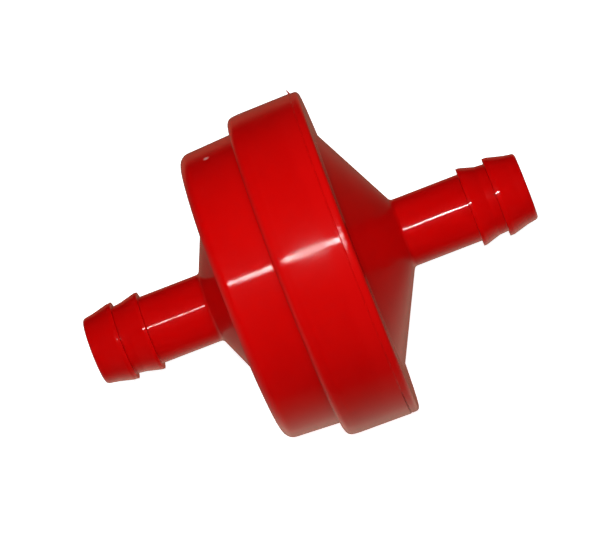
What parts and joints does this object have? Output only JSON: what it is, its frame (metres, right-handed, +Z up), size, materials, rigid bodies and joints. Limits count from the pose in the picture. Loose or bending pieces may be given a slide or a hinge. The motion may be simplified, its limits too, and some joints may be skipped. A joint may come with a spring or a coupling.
{
  "type": "inline fuel filter",
  "caption": "Sealed disc-shaped inline fuel filter in glossy red plastic, with a barbed hose stem at each end of a stepped welded body.",
  "frame": {"origin": "middle of the length, on the flow axis", "axes": "+X along the flow axis towards the outlet stem on the lid, +Z up"},
  "size_m": [0.0452, 0.0334, 0.0334],
  "materials": {
    "red_shell": "glossy moulded",
    "weld_melt": "glossy melted",
    "gasket_rubber": "matte",
    "element_nylon": "satin moulded",
    "potting_compound": "cast",
    "filter_cloth": "woven"
  },
  "bodies": {
    "root": {"inlet_housing": "red_shell", "outlet_cover": "red_shell", "weld_bead": "weld_melt", "seat_gasket": "gasket_rubber", "element_frame": "element_nylon", "edge_potting": "potting_compound", "filter_cloth": "filter_cloth", "support_grid": "element_nylon"}
  },
  "joints": []
}
